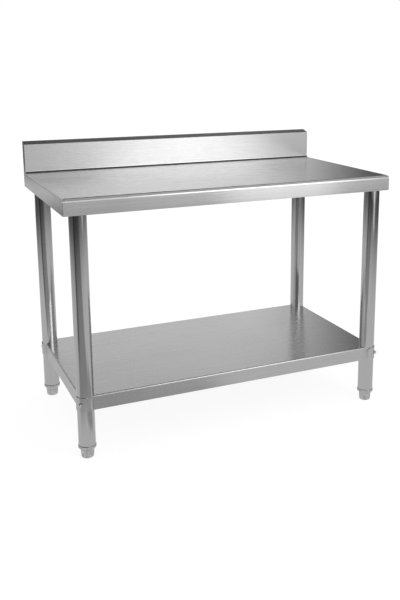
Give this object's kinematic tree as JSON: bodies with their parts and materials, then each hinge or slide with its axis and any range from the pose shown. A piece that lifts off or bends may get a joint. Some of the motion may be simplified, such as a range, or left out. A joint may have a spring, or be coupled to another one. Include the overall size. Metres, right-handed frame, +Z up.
{
  "type": "stainless work table",
  "caption": "Stainless work table with a coved splashback, a folded undershelf clamped to round tube legs, and screw-adjusted bullet feet.",
  "frame": {"origin": "on the floor, under the middle of the table's outline", "axes": "+X to the right along the worktop's length, +Y to the rear where the splashback stands, +Z up"},
  "size_m": [1.2, 0.65, 0.996],
  "materials": {
    "sheet_steel": "fine brushed sheet, grain along the length",
    "tube_steel": "satin polished round tube",
    "channel_steel": "mill finish folded channel",
    "fastener_steel": "plain turned steel",
    "polished_steel": "bright polished dome",
    "foot_steel": "satin, lightly pitted"
  },
  "bodies": {
    "table": {"worktop": "sheet_steel", "splash_end_cap_left": "sheet_steel", "splash_end_cap_right": "sheet_steel", "rear_skirt": "sheet_steel", "end_channel_left": "channel_steel", "end_channel_right": "channel_steel", "mid_channel": "channel_steel", "long_channel_left": "channel_steel", "long_channel_right": "channel_steel", "shelf": "sheet_steel", "shelf_channel": "channel_steel", "leg_front_left": "tube_steel", "leg_mount_front_left": "channel_steel", "grub_screw_front_left": "fastener_steel", "saddle_plate_front_left": "sheet_steel", "clamp_bolt_front_left": "fastener_steel", "clamp_washer_front_left": "fastener_steel", "cap_nut_front_left": "polished_steel", "foot_insert_front_left": "foot_steel", "leg_front_right": "tube_steel", "leg_mount_front_right": "channel_steel", "grub_screw_front_right": "fastener_steel", "saddle_plate_front_right": "sheet_steel", "clamp_bolt_front_right": "fastener_steel", "clamp_washer_front_right": "fastener_steel", "cap_nut_front_right": "polished_steel", "foot_insert_front_right": "foot_steel", "leg_rear_left": "tube_steel", "leg_mount_rear_left": "channel_steel", "grub_screw_rear_left": "fastener_steel", "saddle_plate_rear_left": "sheet_steel", "clamp_bolt_rear_left": "fastener_steel", "clamp_washer_rear_left": "fastener_steel", "cap_nut_rear_left": "polished_steel", "foot_insert_rear_left": "foot_steel", "leg_rear_right": "tube_steel", "leg_mount_rear_right": "channel_steel", "grub_screw_rear_right": "fastener_steel", "saddle_plate_rear_right": "sheet_steel", "clamp_bolt_rear_right": "fastener_steel", "clamp_washer_rear_right": "fastener_steel", "cap_nut_rear_right": "polished_steel", "foot_insert_rear_right": "foot_steel"},
    "stud_front_left": {"foot_stud_front_left": "fastener_steel"},
    "bullet_front_left": {"foot_bullet_front_left": "foot_steel"},
    "stud_front_right": {"foot_stud_front_right": "fastener_steel"},
    "bullet_front_right": {"foot_bullet_front_right": "foot_steel"},
    "stud_rear_left": {"foot_stud_rear_left": "fastener_steel"},
    "bullet_rear_left": {"foot_bullet_rear_left": "foot_steel"},
    "stud_rear_right": {"foot_stud_rear_right": "fastener_steel"},
    "bullet_rear_right": {"foot_bullet_rear_right": "foot_steel"}
  },
  "joints": [
    {"name": "foot_lift_front_left", "type": "slide", "parent": "table", "child": "stud_front_left", "axis": [0, 0, -1], "range_m": [0, 0.0246]},
    {"name": "foot_turn_front_left", "type": "hinge", "parent": "stud_front_left", "child": "bullet_front_left", "pos_m": [-0.548, -0.293, 0], "axis": [0, 0, -1], "range_deg": [0, 5040]},
    {"name": "foot_lift_front_right", "type": "slide", "parent": "table", "child": "stud_front_right", "axis": [0, 0, -1], "range_m": [0, 0.0246]},
    {"name": "foot_turn_front_right", "type": "hinge", "parent": "stud_front_right", "child": "bullet_front_right", "pos_m": [0.548, -0.293, 0], "axis": [0, 0, -1], "range_deg": [0, 5040]},
    {"name": "foot_lift_rear_left", "type": "slide", "parent": "table", "child": "stud_rear_left", "axis": [0, 0, -1], "range_m": [0, 0.0246]},
    {"name": "foot_turn_rear_left", "type": "hinge", "parent": "stud_rear_left", "child": "bullet_rear_left", "pos_m": [-0.548, 0.263, 0], "axis": [0, 0, -1], "range_deg": [0, 5040]},
    {"name": "foot_lift_rear_right", "type": "slide", "parent": "table", "child": "stud_rear_right", "axis": [0, 0, -1], "range_m": [0, 0.0246]},
    {"name": "foot_turn_rear_right", "type": "hinge", "parent": "stud_rear_right", "child": "bullet_rear_right", "pos_m": [0.548, 0.263, 0], "axis": [0, 0, -1], "range_deg": [0, 5040]}
  ],
  "couplings": [
    {"joint": "foot_lift_front_left", "follows": "foot_turn_front_left", "m_per_rad": 0.00027852},
    {"joint": "foot_lift_front_right", "follows": "foot_turn_front_right", "m_per_rad": 0.00027852},
    {"joint": "foot_lift_rear_left", "follows": "foot_turn_rear_left", "m_per_rad": 0.00027852},
    {"joint": "foot_lift_rear_right", "follows": "foot_turn_rear_right", "m_per_rad": 0.00027852}
  ]
}
